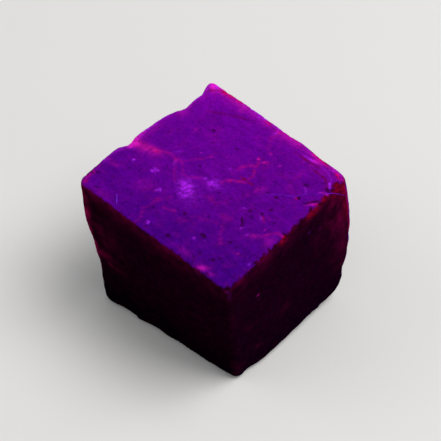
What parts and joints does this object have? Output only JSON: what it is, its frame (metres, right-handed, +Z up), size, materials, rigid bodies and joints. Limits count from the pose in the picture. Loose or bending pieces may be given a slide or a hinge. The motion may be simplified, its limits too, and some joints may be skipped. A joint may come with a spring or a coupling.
{
  "type": "ruby cube",
  "caption": "Rough ruby broken and ground to a small cube, with scalloped and chipped rims, standing on its flat base.",
  "frame": {"origin": "on the flat base, under the middle of the stone", "axes": "+Z up from the base; -Y is the side between the corners L and F, +X the side between F and R"},
  "size_m": [0.0226, 0.0213, 0.0206],
  "materials": {
    "ruby": "dull ground stone, violet on top and dark wine-red down the sides"
  },
  "bodies": {
    "root": {"ruby_cube": "ruby"}
  },
  "joints": []
}
